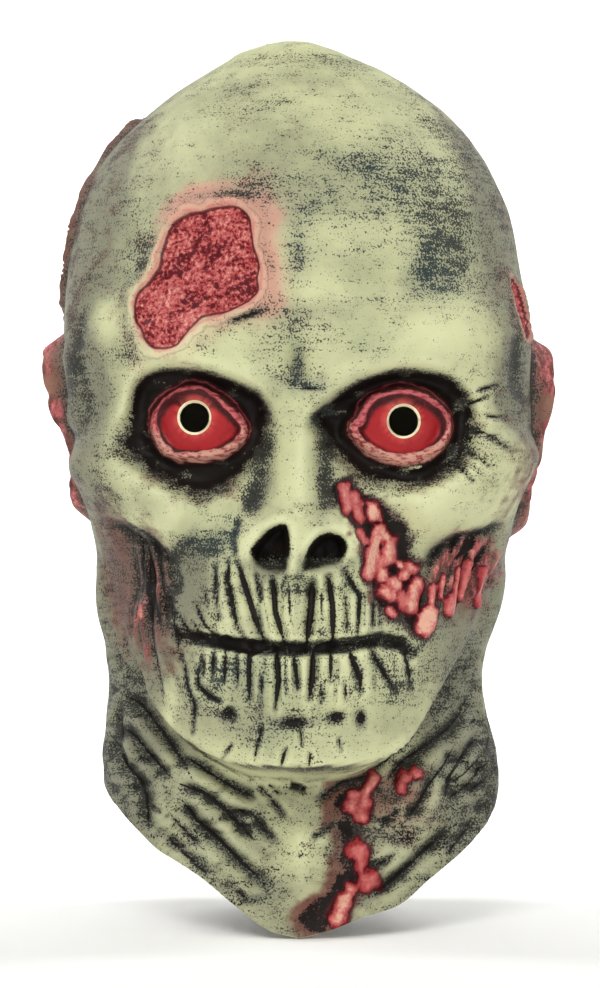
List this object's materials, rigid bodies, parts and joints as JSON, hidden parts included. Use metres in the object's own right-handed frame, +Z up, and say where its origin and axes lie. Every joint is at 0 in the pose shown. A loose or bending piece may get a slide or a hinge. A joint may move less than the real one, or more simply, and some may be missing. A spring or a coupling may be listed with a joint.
{
  "type": "vinyl ghoul mask",
  "caption": "Soft full-head ghoul mask with sunken eyes, open sight holes, a rotted nose, a forehead wound, flattened ears and a neck bib that runs to a point at the throat.",
  "frame": {"origin": "the point inside the crown where the wearer's head carries the mask", "axes": "+Z up, -Y the way the face looks, +X toward the viewer's right"},
  "size_m": [0.2202, 0.227, 0.3804],
  "materials": {
    "mask_vinyl": "soft matt cast vinyl, hand painted"
  },
  "bodies": {
    "root": {"mask_shell": "mask_vinyl"}
  },
  "joints": []
}
